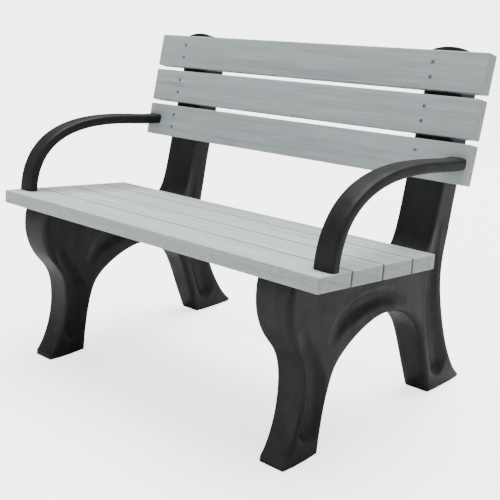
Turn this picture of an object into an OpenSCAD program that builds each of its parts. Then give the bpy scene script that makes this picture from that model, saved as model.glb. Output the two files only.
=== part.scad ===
// Garden bench: seven plastic lumber planks and two flat-oval armrests on two moulded end frames.
// X runs along the bench, Y from the seat's front edge to the back, Z up from the ground.

/* [Overall] */
// Length of every plank, end to end
bench_l = 1219; // [900:1:2400]
// Height of the seat's front top edge above the ground
seat_h = 502; // [420:1:620]
// Distance from a plank's end to the centre of the nearer end frame
frame_inset = 138; // [100:1:200]

/* [Seat] */
// Slope of the seat, down towards the back, in degrees
seat_tilt = 5.6; // [0:0.1:10]
// Thickness of every plank
plank_t = 38.1; // [25:0.1:50]
// Width of the three front seat planks
seat_plank_w = 114.5; // [80:0.5:140]
// Width of the narrower rear seat plank
rear_seat_plank_w = 96; // [80:0.5:140]
// Gap between seat planks
seat_gap = 3.2; // [1:0.1:12]

/* [Back] */
// Lean of the back from upright, in degrees
back_recline = 15.3; // [5:0.1:25]
// Width of each back plank
back_plank_w = 101.5; // [70:0.5:130]
// Gap between back planks
back_gap = 12.8; // [3:0.1:40]
// Height of the lowest back plank's lower front edge above the seat's front edge
back_rise = 112; // [60:1:200]
// Distance of that edge behind the seat's rear edge
back_setback = 105; // [70:1:160]

/* [End frames] */
// Width of an end frame at the seat and along its upright
frame_w = 116; // [100:1:140]
// Width of an end frame at the ground
foot_w = 82; // [60:1:100]
// Thickness of an upright, front to back
upright_d = 83; // [70:1:120]
// Length of a front foot, front to back
front_foot_l = 131; // [100:1:160]
// Length of a rear foot, front to back
rear_foot_l = 159; // [120:1:190]
// Height of the arch between the legs
arch_h = 298; // [240:1:320]
// Height at which the front leg is narrowest
waist_h = 205; // [160:1:220]
// Distance that this waist stands behind the toe
waist_setback = 72; // [50:1:85]
// Distance of the frame's front top corner behind the seat's front edge
frame_setback = 16; // [5:1:30]
// Height of the crowned top above the highest plank, measured up the back
top_rise = 18; // [5:1:30]
// Rise of the crown from its edges to its middle
crown = 10; // [4:1:25]
// Width of the rim left along the arch beside the side channel
rim = 16; // [10:1:20]
// Width of the side channel in the front leg
front_channel_w = 46; // [30:1:50]
// Width of the side channel in the rear leg
rear_channel_w = 74; // [50:1:80]
// Depth of the side channels
channel_d = 14; // [5:1:20]
// Height of the shelf that closes each channel above its foot
shelf_h = 50; // [35:1:80]

/* [Armrests] */
// Width of an armrest
arm_w = 58; // [40:1:70]
// Thickness of an armrest
arm_t = 30; // [26:1:36]
// Squareness of an armrest's section: 1 is an ellipse, and less is fuller in the corners
arm_fullness = 0.45; // [0.3:0.05:1]
// Gap from a plank's end to an armrest's outer side
arm_inset = 3; // [0:0.5:20]
// Distance of an armrest's foot centre behind the seat's front edge
arm_base = 62; // [40:1:85]

/* [Fixings] */
// Shank diameter of a plank screw
screw_d = 6; // [4:0.5:8]
// Head diameter of a plank screw
screw_head_d = 11; // [9:0.5:14]
// Length of a plank screw
screw_l = 65; // [50:1:80]
// Distance between the two screws of a seat plank
seat_screw_pitch = 44; // [30:1:60]
// Distance between the two screws of a back plank
back_screw_pitch = 39; // [30:1:50]
// Distance of the screws to the left of a frame's centre
screw_offset = 19; // [0:1:35]
// Shank diameter of an armrest bolt
bolt_d = 8; // [6:1:10]
// Length of an armrest bolt under its head
bolt_l = 80; // [70:1:85]
// Outside diameter of a washer
washer_d = 24; // [20:1:30]
// Thickness of a washer
washer_t = 2; // [1:0.5:3]
// Extra diameter of a hole that a fixing passes through
hole_clearance = 1; // [0.4:0.1:2]
// Extra diameter of a hole that holds a fixing's thread
thread_clearance = 0.2; // [0.1:0.05:0.4]

/* [Hidden] */

LEFT = -1;
RIGHT = 1;
SIDES = [LEFT, RIGHT];
PLANK_GREY = [0.62, 0.65, 0.65];
FRAME_BLACK = [0.17, 0.17, 0.17];
ARM_BLACK = [0.20, 0.20, 0.20];
STEEL = [0.55, 0.56, 0.58];
COATED = [0.38, 0.41, 0.44];

eps = 0.01;
curve_steps = 12;
edge_r = 3;

// Shares of a screw's head diameter and a bolt's shank diameter
recess_share = 0.42;
bolt_head_share = 1.85;
bolt_head_h_share = 0.66;
recess_d = screw_head_d * recess_share;
recess_floor = 0.5;
past_tip = 2;
margin = 1;

// Planes of the seat and the back, as [y, z]
seat_rear = [cos(seat_tilt), -sin(seat_tilt)];
seat_up = [sin(seat_tilt), cos(seat_tilt)];
back_up = [sin(back_recline), cos(back_recline)];
back_rear = [cos(back_recline), -sin(back_recline)];
seat_edge = [0, seat_h];
seat_widths = [seat_plank_w, seat_plank_w, seat_plank_w, rear_seat_plank_w];
function seat_start(i) = i * (seat_plank_w + seat_gap);
seat_depth = seat_start(3) + rear_seat_plank_w;
seat_rear_edge = seat_edge + seat_depth * seat_rear;
back_edge = [seat_rear_edge.x + back_setback, seat_h + back_rise];
back_pitch = back_plank_w + back_gap;
back_h = 2 * back_pitch + back_plank_w;

frame_x = bench_l / 2 - frame_inset;
arm_x = bench_l / 2 - arm_inset - arm_w / 2;

// Lines that the end frame's outline is hung on
function rest_z(y) = seat_h - plank_t / cos(seat_tilt) - y * tan(seat_tilt);
function upright_front(z) = back_edge.x + plank_t / cos(back_recline) + (z - back_edge.y) * tan(back_recline);
function upright_back(z) = upright_front(z) + upright_d / cos(back_recline);
top_front = back_edge + (back_h + top_rise) * back_up + plank_t * back_rear;
top_back = top_front + upright_d * back_rear;
rest_front = [frame_setback, rest_z(frame_setback)];
rear_root = upright_front(rest_z(seat_rear_edge.x));
rear_toe = rear_root + 72;
rear_heel = rear_toe + rear_foot_l;
arch_y = (front_foot_l + rear_toe) / 2;
blend_z = rest_z(rear_root) + 160;

function bezier(a, b, c, d) = [
    for (i = [0 : curve_steps - 1])
        let (t = i / curve_steps, s = 1 - t)
            s * s * s * a + 3 * s * s * t * b + 3 * s * t * t * c + t * t * t * d
];

// From the back of the front foot, over the arch, to the front of the rear foot
arch_curve = concat(
    bezier([front_foot_l, 0], [front_foot_l + 14, 75], [front_foot_l + 21, waist_h - 55],
        [front_foot_l + 49, waist_h]),
    bezier([front_foot_l + 49, waist_h], [front_foot_l + 74, waist_h + 45], [arch_y - 68, arch_h],
        [arch_y, arch_h]),
    bezier([arch_y, arch_h], [arch_y + 72, arch_h], [rear_toe - 110, arch_h - 36],
        [rear_toe - 80, arch_h - 80]),
    bezier([rear_toe - 80, arch_h - 80], [rear_toe - 50, arch_h - 128], [rear_toe - 36, 75], [rear_toe, 0]),
    [[rear_toe, 0]]
);

// From the heel up the back of the rear leg to the upright
heel_curve = concat(
    bezier([rear_heel, 8], [rear_heel - 45, 50], [rear_heel - 85, 125], [rear_heel - 112, waist_h]),
    bezier([rear_heel - 112, waist_h], [rear_heel - 135, waist_h + 70],
        [upright_back(blend_z) - 50, blend_z - 230], [upright_back(blend_z) - 36, blend_z - 155]),
    bezier([upright_back(blend_z) - 36, blend_z - 155], [upright_back(blend_z) - 26, blend_z - 105],
        [upright_back(blend_z - 50), blend_z - 50], [upright_back(blend_z), blend_z])
);

// The long hollow where the upright flares forwards into the seat rest
corner_z = rest_z(rear_root) + 140;
corner_y = rear_root - 64;
corner = bezier([upright_front(corner_z), corner_z], [upright_front(corner_z - 92), corner_z - 92],
    [rear_root - 4, rest_z(rear_root - 4)], [corner_y, rest_z(corner_y)]);

// From the seat rest down the front leg's belly and waist to the toe
toe_curve = concat(
    bezier(rest_front, [rest_front.x - 18, rest_front.y - 32], [rest_front.x - 22, rest_front.y - 90],
        [rest_front.x + 6, rest_front.y - 140]),
    bezier([rest_front.x + 6, rest_front.y - 140], [rest_front.x + 29, rest_front.y - 180],
        [waist_setback, waist_h + 65], [waist_setback, waist_h]),
    bezier([waist_setback, waist_h], [waist_setback, waist_h - 75], [waist_setback - 27, 60], [0, 8])
);

frame_outline = concat(
    arch_curve,
    [[rear_heel, 0]],
    heel_curve,
    [top_back, top_front],
    corner,
    [[corner_y, rest_z(corner_y)]],
    toe_curve,
    [[0, 8], [5, 0]]
);

// Points of a curve moved square to it, by an amount that runs from first to last along it
function moved(curve, first, last) = [
    for (i = [1 : len(curve) - 2])
        let (
            along = curve[i + 1] - curve[i - 1],
            square_to = [-along.y, along.x] / norm(along),
            part = i / (len(curve) - 1)
        )
            curve[i] + (first + (last - first) * part) * square_to
];
function reversed(list) = [for (i = [len(list) - 1 : -1 : 0]) list[i]];
channel_outline = concat(
    moved(arch_curve, rim, rim),
    reversed(moved(arch_curve, rim + front_channel_w, rim + rear_channel_w))
);

// The object's box is centred on the origin in X and Y
y_shift = -(rear_heel + plank_t * -seat_up.x) / 2;

// ---------- Placing ----------
module centred() {
    translate([0, y_shift, 0]) children();
}

// Local X stays, local Y runs back along the seat, local Z stands on its top
module on_seat(along) {
    at = seat_edge + along * seat_rear;
    translate([0, at.x, at.y]) rotate([-seat_tilt, 0, 0]) children();
}

// Local X stays, local Y runs back through the planks, local Z runs up them
module on_back(up) {
    at = back_edge + up * back_up;
    translate([0, at.x, at.y]) rotate([-back_recline, 0, 0]) children();
}

// An outline in Y and Z given its width along X
module slab(width, outline) {
    translate([-width / 2, 0, 0]) rotate([90, 0, 90]) linear_extrude(width) polygon(outline);
}

// ---------- Fixings ----------
function seat_screw_at(i, j) = seat_start(i) + seat_widths[i] / 2 + j * seat_screw_pitch / 2;
function back_screw_at(i, j) = i * back_pitch + back_plank_w / 2 + j * back_screw_pitch / 2;

// A countersunk screw whose head is flush with Z = 0 and whose shank runs down
module screw() {
    head_h = (screw_head_d - screw_d) / 2;
    difference() {
        union() {
            translate([0, 0, -head_h]) cylinder(h = head_h, d1 = screw_d, d2 = screw_head_d, $fn = 48);
            translate([0, 0, -screw_l]) cylinder(h = screw_l - head_h + eps, d = screw_d, $fn = 48);
        }
        translate([0, 0, -head_h + recess_floor]) cylinder(h = head_h, d = recess_d, $fn = 6);
    }
}

// The hole a screw passes through in a plank, with its countersink
module screw_hole() {
    hole_d = screw_d + hole_clearance;
    sink_d = screw_head_d + hole_clearance;
    sink_h = (sink_d - hole_d) / 2;
    translate([0, 0, -plank_t - margin]) cylinder(h = plank_t + 2 * margin, d = hole_d, $fn = 48);
    translate([0, 0, -sink_h]) cylinder(h = sink_h + eps, d1 = hole_d, d2 = sink_d, $fn = 48);
}

// The hole that holds a screw's thread in a frame
module screw_pilot() {
    depth = screw_l + past_tip;
    translate([0, 0, -depth]) cylinder(h = depth, d = screw_d + thread_clearance, $fn = 48);
}

// Children at each screw of one seat plank over one frame
module at_seat_screws(i) {
    for (j = [-1, 1])
        on_seat(seat_screw_at(i, j)) translate([-screw_offset, 0, 0]) children();
}

// Children at each screw of one back plank on one frame
module at_back_screws(i) {
    for (j = [-1, 1])
        on_back(back_screw_at(i, j)) translate([-screw_offset, 0, 0]) rotate([90, 0, 0]) children();
}

module on_both_frames() {
    for (side = SIDES)
        translate([side * frame_x, 0, 0]) children();
}

module seat_screws(i) {
    color(COATED) centred() on_both_frames() at_seat_screws(i) screw();
}

module back_screws(i) {
    color(STEEL) centred() on_both_frames() at_back_screws(i) screw();
}

// Children below the front seat plank, Z pointing up into an armrest's foot
module at_arm_base(side) {
    on_seat(arm_base) translate([side * arm_x, 0, -plank_t]) children();
}

// Children behind the lowest back plank, Z pointing forwards into an armrest's rear end
module at_arm_rear(side) {
    on_back(back_plank_w / 2) translate([side * arm_x, plank_t, 0]) rotate([90, 0, 0]) children();
}

// A hex bolt with a washer's room under its head; its shank runs up from there
module bolt() {
    head_h = bolt_d * bolt_head_h_share;
    translate([0, 0, -washer_t - head_h]) cylinder(h = head_h, d = bolt_d * bolt_head_share, $fn = 6);
    translate([0, 0, -washer_t - eps]) cylinder(h = bolt_l + eps, d = bolt_d, $fn = 48);
}

module washer() {
    difference() {
        translate([0, 0, -washer_t]) cylinder(h = washer_t, d = washer_d, $fn = 64);
        translate([0, 0, -washer_t - margin])
            cylinder(h = washer_t + 2 * margin, d = bolt_d + hole_clearance, $fn = 48);
    }
}

module bolt_hole() {
    translate([0, 0, -margin]) cylinder(h = plank_t + 2 * margin, d = bolt_d + hole_clearance, $fn = 48);
}

// The hole that holds a bolt's thread in an armrest
module bolt_pilot() {
    start = plank_t - margin;
    translate([0, 0, start])
        cylinder(h = bolt_l - washer_t - start + past_tip, d = bolt_d + thread_clearance, $fn = 48);
}

module arm_base_bolts() {
    color(STEEL) centred() for (side = SIDES) at_arm_base(side) bolt();
}

module arm_base_washers() {
    color(STEEL) centred() for (side = SIDES) at_arm_base(side) washer();
}

module arm_rear_bolts() {
    color(STEEL) centred() for (side = SIDES) at_arm_rear(side) bolt();
}

module arm_rear_washers() {
    color(STEEL) centred() for (side = SIDES) at_arm_rear(side) washer();
}

// ---------- Planks ----------
// A board along X whose section has rounded corners, from the local origin to +Y and -Z
module board(width) {
    translate([-bench_l / 2, 0, -plank_t]) rotate([90, 0, 90]) linear_extrude(bench_l) union() {
        translate([edge_r, 0]) square([width - 2 * edge_r, plank_t]);
        translate([0, edge_r]) square([width, plank_t - 2 * edge_r]);
        for (y = [edge_r, width - edge_r], z = [edge_r, plank_t - edge_r])
            translate([y, z]) circle(r = edge_r, $fn = 32);
    }
}

module seat_plank(i) {
    color(PLANK_GREY) centred() difference() {
        on_seat(seat_start(i)) board(seat_widths[i]);
        on_both_frames() at_seat_screws(i) screw_hole();
        if (i == 0)
            for (side = SIDES) at_arm_base(side) bolt_hole();
    }
}

module back_plank(i) {
    color(PLANK_GREY) centred() difference() {
        on_back(i * back_pitch) rotate([90, 0, 0]) board(back_plank_w);
        on_both_frames() at_back_screws(i) screw_hole();
        if (i == 0)
            for (side = SIDES) at_arm_rear(side) bolt_hole();
    }
}

// ---------- End frames ----------
// The frame's two legs seen from the front, narrower at the ground
module draft() {
    half_w = frame_w / 2;
    half_foot = foot_w / 2;
    above = top_front.y + crown;
    translate([0, rear_heel + 200, 0]) rotate([90, 0, 0]) linear_extrude(rear_heel + 300) polygon([
        [-half_foot, 0], [half_foot, 0], [half_w, rest_front.y], [half_w, above],
        [-half_w, above], [-half_w, rest_front.y]
    ]);
}

// The space under the upright's crowned top, square to the back
module under_crown() {
    half_w = frame_w / 2;
    crown_r = (half_w * half_w + crown * crown) / (2 * crown);
    peak = back_h + top_rise;
    on_back(0) translate([0, rear_heel, 0]) rotate([90, 0, 0]) linear_extrude(2 * rear_heel) union() {
        translate([-half_w - 1, -2 * top_front.y]) square([frame_w + 2, 2 * top_front.y + peak - crown - 1]);
        intersection() {
            translate([0, peak - crown_r]) circle(r = crown_r, $fn = 180);
            translate([-half_w - 1, peak - 2 * crown]) square([frame_w + 2, 2 * crown]);
        }
    }
}

// What is scooped from one side face, from the shelf up
module channel(side) {
    bottom_x = foot_w / 2 - channel_d;
    top_x = frame_w / 2 - channel_d;
    intersection() {
        slab(2 * frame_w, channel_outline);
        translate([0, rear_heel, 0]) rotate([90, 0, 0]) linear_extrude(rear_heel) polygon([
            [side * (bottom_x + channel_d + 1), shelf_h - channel_d],
            [side * bottom_x, shelf_h + channel_d],
            [side * top_x, rest_front.y],
            [side * frame_w, rest_front.y],
            [side * frame_w, shelf_h - channel_d]
        ]);
    }
}

module end_frame(side) {
    color(FRAME_BLACK) centred() translate([side * frame_x, 0, 0]) difference() {
        intersection() {
            slab(frame_w, frame_outline);
            draft();
            under_crown();
        }
        for (face = SIDES) channel(face);
        for (i = [0 : 3]) at_seat_screws(i) screw_pilot();
        for (i = [0 : 2]) at_back_screws(i) screw_pilot();
    }
}

// ---------- Armrests ----------
arm_rings = 30;
arm_section_points = 28;
arm_foot = seat_edge + arm_base * seat_rear;
arm_end = back_edge + back_plank_w / 2 * back_up;
arm_path = concat(
    [for (i = [0 : arm_rings - 1])
        let (t = i / arm_rings, s = 1 - t)
            s * s * s * arm_foot + 3 * s * s * t * (arm_foot + [32, 268])
                + 3 * s * t * t * (arm_end - [96, 4]) + t * t * t * arm_end],
    [arm_end]
);

// The direction across an armrest's thickness at one ring; the end rings lie flat on the planks
function arm_cross(i) =
    i == 0 ? -seat_rear / seat_rear.x :
    i == arm_rings ? back_up / back_up.y :
    let (along = arm_path[i + 1] - arm_path[i - 1]) [-along.y, along.x] / norm(along);

// A flat oval
function oval(angle) = [
    arm_w / 2 * sign(cos(angle)) * pow(abs(cos(angle)), arm_fullness),
    arm_t / 2 * sign(sin(angle)) * pow(abs(sin(angle)), arm_fullness)
];

module arm_sweep() {
    count = arm_section_points;
    points = [
        for (i = [0 : arm_rings], k = [0 : count - 1])
            let (flat = oval(360 * k / count), at = arm_path[i] + flat.y * arm_cross(i))
                [flat.x, at.x, at.y]
    ];
    walls = [
        for (i = [0 : arm_rings - 1], k = [0 : count - 1])
            let (a = i * count + k, b = i * count + (k + 1) % count)
                [a, a + count, b + count, b]
    ];
    start_cap = [for (k = [0 : count - 1]) k];
    end_cap = [for (k = [count - 1 : -1 : 0]) arm_rings * count + k];
    polyhedron(points, concat(walls, [start_cap, end_cap]));
}

module armrest(side) {
    color(ARM_BLACK) centred() difference() {
        translate([side * arm_x, 0, 0]) arm_sweep();
        at_arm_base(side) bolt_pilot();
        at_arm_rear(side) bolt_pilot();
    }
}

end_frame(LEFT);  // end_frame_left
end_frame(RIGHT);  // end_frame_right
seat_plank(0);  // seat_plank_front
seat_plank(1);  // seat_plank_second
seat_plank(2);  // seat_plank_third
seat_plank(3);  // seat_plank_rear
back_plank(0);  // back_plank_lower
back_plank(1);  // back_plank_middle
back_plank(2);  // back_plank_upper
armrest(LEFT);  // armrest_left
armrest(RIGHT);  // armrest_right
seat_screws(0);  // seat_screws_front
seat_screws(1);  // seat_screws_second
seat_screws(2);  // seat_screws_third
seat_screws(3);  // seat_screws_rear
back_screws(0);  // back_screws_lower
back_screws(1);  // back_screws_middle
back_screws(2);  // back_screws_upper
arm_base_bolts();
arm_base_washers();
arm_rear_bolts();
arm_rear_washers();
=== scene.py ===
"""Garden bench: plastic lumber planks and oval armrests on two moulded end frames.

X runs along the bench, Y from the seat's front edge to the back, Z up from the ground.
Every length is in metres and every angle in radians unless a name says otherwise.
"""

import logging
import math
from dataclasses import dataclass
from enum import Enum
from typing import Callable, Sequence

import bmesh
import bpy
import numpy as np
from mathutils import Matrix, Vector


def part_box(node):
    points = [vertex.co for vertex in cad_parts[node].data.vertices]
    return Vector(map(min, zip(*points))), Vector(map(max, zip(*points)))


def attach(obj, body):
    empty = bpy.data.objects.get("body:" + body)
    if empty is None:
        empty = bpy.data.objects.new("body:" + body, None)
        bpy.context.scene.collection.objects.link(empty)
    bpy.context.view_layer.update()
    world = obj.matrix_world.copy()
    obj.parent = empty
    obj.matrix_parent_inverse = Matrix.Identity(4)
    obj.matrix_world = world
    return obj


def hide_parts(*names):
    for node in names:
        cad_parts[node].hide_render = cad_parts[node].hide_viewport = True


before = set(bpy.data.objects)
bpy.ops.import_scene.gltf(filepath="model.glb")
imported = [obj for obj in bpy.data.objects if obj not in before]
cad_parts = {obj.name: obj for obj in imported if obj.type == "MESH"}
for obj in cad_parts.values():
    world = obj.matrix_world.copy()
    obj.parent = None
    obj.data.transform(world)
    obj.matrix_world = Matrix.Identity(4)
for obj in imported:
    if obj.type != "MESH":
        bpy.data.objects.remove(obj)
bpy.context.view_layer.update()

log = logging.getLogger("garden_bench")
Colour = tuple[float, float, float, float]
Shape = bmesh.types.BMesh
Piece = bpy.types.Object
Socket = bpy.types.NodeSocket
Numbers = np.ndarray | float

BODY = "root"
FAR = 1e9  # Further than anything on the bench
TINY = 1e-6  # Lengths below this count as none
WELD = 1e-5  # Points of a CAD node closer than this are one point
SEAM = 1e-7  # The same for the points where a lathed solid closes
WHITE = (1.0, 1.0, 1.0, 1.0)


# ---------- Helpers for meshes ----------
def spot(y: float, z: float) -> Vector:
    """Return a point or a direction in the side view, as (y, z)."""
    return Vector((y, z))


def bezier(a: Vector, b: Vector, c: Vector, d: Vector, steps: int) -> list[Vector]:
    """Sample a cubic curve, leaving out its last point.

    Args:
        a: First end.
        b: First handle.
        c: Second handle.
        d: Second end.
        steps: Number of points.

    Returns:
        The points from a towards d.
    """
    points = []
    for i in range(steps):
        t = i / steps
        s = 1 - t
        points.append(s * s * s * a + 3 * s * s * t * b + 3 * s * t * t * c + t * t * t * d)
    return points


def chain(knots: Sequence[Vector], steps: int) -> list[Vector]:
    """Join cubic curves end to end.

    Args:
        knots: The first point, then two handles and the last point of each curve.
        steps: Number of points on each curve.

    Returns:
        The points from the first knot towards the last.
    """
    return [q for i in range(0, len(knots) - 1, 3) for q in bezier(*knots[i:i + 4], steps)]


def straight(a: Vector, b: Vector, steps: int) -> list[Vector]:
    """Return evenly spaced points from a towards b, leaving out b."""
    return [a.lerp(b, i / steps) for i in range(steps)]


def eased(low: float, high: float, value: Numbers) -> Numbers:
    """Return 0 below low, 1 above high and a smooth step between them."""
    t = np.clip((value - low) / (high - low), 0, 1)
    return t * t * (3 - 2 * t)


def in_space(direction: Vector) -> Vector:
    """Return a direction of the side view in the shared frame."""
    return Vector((0, direction.x, direction.y))


def middle(node: str) -> Vector:
    """Return the middle of a CAD node's box."""
    return Vector([(a + b) / 2 for a, b in zip(*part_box(node))])


def run(edge: bmesh.types.BMEdge, axis: int) -> float:
    """Return how far an edge runs along an axis, by the axis's number."""
    return abs(edge.verts[0].co[axis] - edge.verts[1].co[axis])


def make_object(name: str, shape: Shape, smooth: bool = True) -> Piece:
    """Turn a bmesh into an object at the origin.

    Args:
        name: Name of the piece.
        shape: The finished bmesh, freed here.
        smooth: True for smooth shading.

    Returns:
        The new object, linked to the scene.
    """
    mesh = bpy.data.meshes.new(name)
    shape.to_mesh(mesh)
    shape.free()
    for face in mesh.polygons:
        face.use_smooth = smooth
    piece = bpy.data.objects.new(name, mesh)
    bpy.context.scene.collection.objects.link(piece)
    return piece


def apply_modifiers(piece: Piece) -> None:
    """Bake modifiers into the mesh.

    Args:
        piece: The object, which ends with no modifier.
    """
    graph = bpy.context.evaluated_depsgraph_get()
    graph.update()
    mesh = bpy.data.meshes.new_from_object(piece.evaluated_get(graph))
    piece.modifiers.clear()
    piece.data = mesh
    mesh.name = piece.name


def cut(piece: Piece, cutter: Piece) -> None:
    """Subtract one object from another.

    Args:
        piece: The object that loses material.
        cutter: The closed shape to subtract, removed afterwards.
    """
    boolean = piece.modifiers.new("cut", "BOOLEAN")
    boolean.operation = "DIFFERENCE"
    boolean.solver = "EXACT"
    boolean.object = cutter
    apply_modifiers(piece)
    bpy.data.objects.remove(cutter)


def round_edges(shape: Shape, edges: list, radius: float, segments: int, clamp: bool = False) -> None:
    """Round some edges of a bmesh.

    Args:
        shape: The bmesh to change.
        edges: The edges to round.
        radius: How far the rounding reaches from each edge.
        segments: Faces across the rounding.
        clamp: True to keep roundings from running past each other.
    """
    bmesh.ops.bevel(shape, geom=edges, offset=radius, offset_type="OFFSET", segments=segments, profile=0.5,
                    affect="EDGES", material=-1, clamp_overlap=clamp)


def extrude(shape: Shape, step: Vector) -> None:
    """Extrude every face of a flat bmesh.

    Args:
        shape: The bmesh, which becomes a closed solid.
        step: How far its faces move.
    """
    grown = bmesh.ops.extrude_face_region(shape, geom=shape.faces[:])
    moved = [vert for vert in grown["geom"] if isinstance(vert, bmesh.types.BMVert)]
    bmesh.ops.translate(shape, vec=step, verts=moved)


def shade_by_angle(piece: Piece, degrees: float) -> None:
    """Shade a piece smoothly, apart from its sharp edges.

    Args:
        piece: The object to shade.
        degrees: Edges at least this sharp stay sharp.
    """
    shape = bmesh.new()
    shape.from_mesh(piece.data)
    for edge in shape.edges:
        if len(edge.link_faces) == 2:
            edge.smooth = edge.calc_face_angle(0.0) < math.radians(degrees)
    for face in shape.faces:
        face.smooth = True
    shape.to_mesh(piece.data)
    shape.free()


def standing(start: Vector, axis: Vector) -> Matrix:
    """Return the matrix that moves the origin to a start and turns local Z along an axis."""
    turn = Vector((0, 0, 1)).rotation_difference(axis).to_matrix().to_4x4()
    return Matrix.Translation(start) @ turn


def lathed(profile: Sequence[tuple[float, float]], steps: int) -> Shape:
    """Spin a profile about Z into a closed solid.

    Args:
        profile: Points as (radius, height).
        steps: Faces around.

    Returns:
        A new bmesh.
    """
    shape = bmesh.new()
    verts = [shape.verts.new((r, 0, z)) for r, z in profile]
    edges = [shape.edges.new(pair) for pair in zip(verts, verts[1:])]
    bmesh.ops.spin(shape, geom=verts + edges, cent=(0, 0, 0), axis=(0, 0, 1), angle=math.tau, steps=steps,
                   use_merge=True)
    bmesh.ops.remove_doubles(shape, verts=shape.verts, dist=SEAM)
    bmesh.ops.recalc_face_normals(shape, faces=shape.faces)
    return shape


def add_copy(whole: Shape, single: Shape, place: Matrix) -> None:
    """Add a placed copy of one bmesh to another.

    Args:
        whole: The bmesh that grows.
        single: The bmesh to copy, left as it is.
        place: Where the copy goes.
    """
    copy = single.copy()
    bmesh.ops.transform(copy, matrix=place, verts=copy.verts)
    part = bpy.data.meshes.new("part")
    copy.to_mesh(part)
    copy.free()
    whole.from_mesh(part)
    bpy.data.meshes.remove(part)


def copied(single: Shape, places: Sequence[Matrix]) -> Shape:
    """Return one bmesh with a copy at each place.

    Args:
        single: The bmesh to copy, freed here.
        places: Where the copies go.

    Returns:
        A new bmesh.
    """
    whole = bmesh.new()
    for place in places:
        add_copy(whole, single, place)
    single.free()
    return whole


def islands(node: str) -> list[np.ndarray]:
    """Return the points of each separate solid of a CAD node.

    Args:
        node: The CAD node.

    Returns:
        One array of points for each solid, ordered by x and then by z.
    """
    shape = bmesh.new()
    shape.from_mesh(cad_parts[node].data)
    bmesh.ops.remove_doubles(shape, verts=shape.verts, dist=WELD)
    found, seen = [], set()
    for start in shape.verts:
        if start.index in seen:
            continue
        seen.add(start.index)
        stack, points = [start], []
        while stack:
            vert = stack.pop()
            points.append(tuple(vert.co))
            for edge in vert.link_edges:
                other = edge.other_vert(vert)
                if other.index not in seen:
                    seen.add(other.index)
                    stack.append(other)
        found.append(np.array(points))
    shape.free()
    return sorted(found, key=lambda points: (round(points[:, 0].mean(), 3), points[:, 2].mean()))


def finish_piece(piece: Piece, material: bpy.types.Material, nodes: Sequence[str]) -> None:
    """Dress a piece and hide the CAD nodes that it stands for.

    Args:
        piece: The finished object.
        material: Its material.
        nodes: CAD nodes that it replaces.
    """
    piece.data.materials.clear()
    piece.data.materials.append(material)
    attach(piece, BODY)
    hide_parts(*nodes)
    log.info("%s: %d vertices", piece.name, len(piece.data.vertices))


# ---------- Shader nodes ----------
class Wiring:
    """Adds and links nodes in one node tree."""

    def __init__(self, tree: bpy.types.NodeTree) -> None:
        """Start on an empty tree."""
        self.tree = tree
        tree.nodes.clear()

    def add(self, kind: str, settings: dict | None = None, **inputs: object) -> bpy.types.Node:
        """Add one node.

        Args:
            kind: The node's type name.
            settings: Properties of the node itself.
            inputs: Values or sockets for its inputs; a name's underscores stand for spaces,
                and a name such as in_0 means the input of that number.

        Returns:
            The new node.
        """
        node = self.tree.nodes.new(kind)
        for key, value in (settings or {}).items():
            setattr(node, key, value)
        for key, value in inputs.items():
            name = int(key[3:]) if key.startswith("in_") else key.replace("_", " ")
            self.feed(node.inputs[name], value)
        return node

    def feed(self, socket: Socket, value: object) -> None:
        """Link another socket to an input, or store a plain value in it."""
        if isinstance(value, bpy.types.NodeSocket):
            self.tree.links.new(value, socket)
        else:
            socket.default_value = value

    def math(self, operation: str, a: object, b: object = 0.0) -> Socket:
        """Add a Math node and return its result."""
        return self.add("ShaderNodeMath", {"operation": operation}, in_0=a, in_1=b).outputs[0]

    def remap(self, value: object, low: float, high: float, to_low: float = 0.0,
              to_high: float = 1.0) -> Socket:
        """Add a smooth Map Range node and return its result."""
        return self.add("ShaderNodeMapRange", {"interpolation_type": "SMOOTHSTEP"}, Value=value, From_Min=low,
                        From_Max=high, To_Min=to_low, To_Max=to_high).outputs["Result"]

    def mix(self, factor: object, a: object, b: object) -> Socket:
        """Add a colour Mix node and return its colour."""
        return self.add("ShaderNodeMix", {"data_type": "RGBA"}, in_0=factor, in_6=a, in_7=b).outputs[2]

    def layered(self, colour: Socket, layers: Sequence[tuple[Socket, float, Colour]]) -> Socket:
        """Tint a colour several times.

        Args:
            colour: The colour to start from.
            layers: A mask, the most of it that shows, and the colour it brings, for each layer in turn.

        Returns:
            The last layer's colour.
        """
        for mask, share, toward in layers:
            colour = self.mix(self.math("MULTIPLY", mask, share), colour, toward)
        return colour

    def noise(self, vector: Socket, scale: float = 1.0, detail: float = 4.0, roughness: float = 0.55) -> Socket:
        """Add a Noise Texture node and return its value."""
        return self.add("ShaderNodeTexNoise", None, Vector=vector, Scale=scale, Detail=detail,
                        Roughness=roughness).outputs["Fac"]

    def place(self, vector: Socket, scale: tuple[float, float, float],
              turn: tuple[float, float, float] = (0, 0, 0)) -> Socket:
        """Add a Mapping node and return its vector."""
        return self.add("ShaderNodeMapping", None, Vector=vector, Scale=scale, Rotation=turn).outputs["Vector"]

    def here(self) -> Socket:
        """Return the Object coordinates."""
        return self.add("ShaderNodeTexCoord").outputs["Object"]

    def normal(self) -> Socket:
        """Return the surface normal."""
        return self.add("ShaderNodeNewGeometry").outputs["Normal"]

    def stored(self, name: str) -> Socket:
        """Return a value stored on the piece's mesh."""
        return self.add("ShaderNodeAttribute", {"attribute_name": name}).outputs["Fac"]


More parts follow.
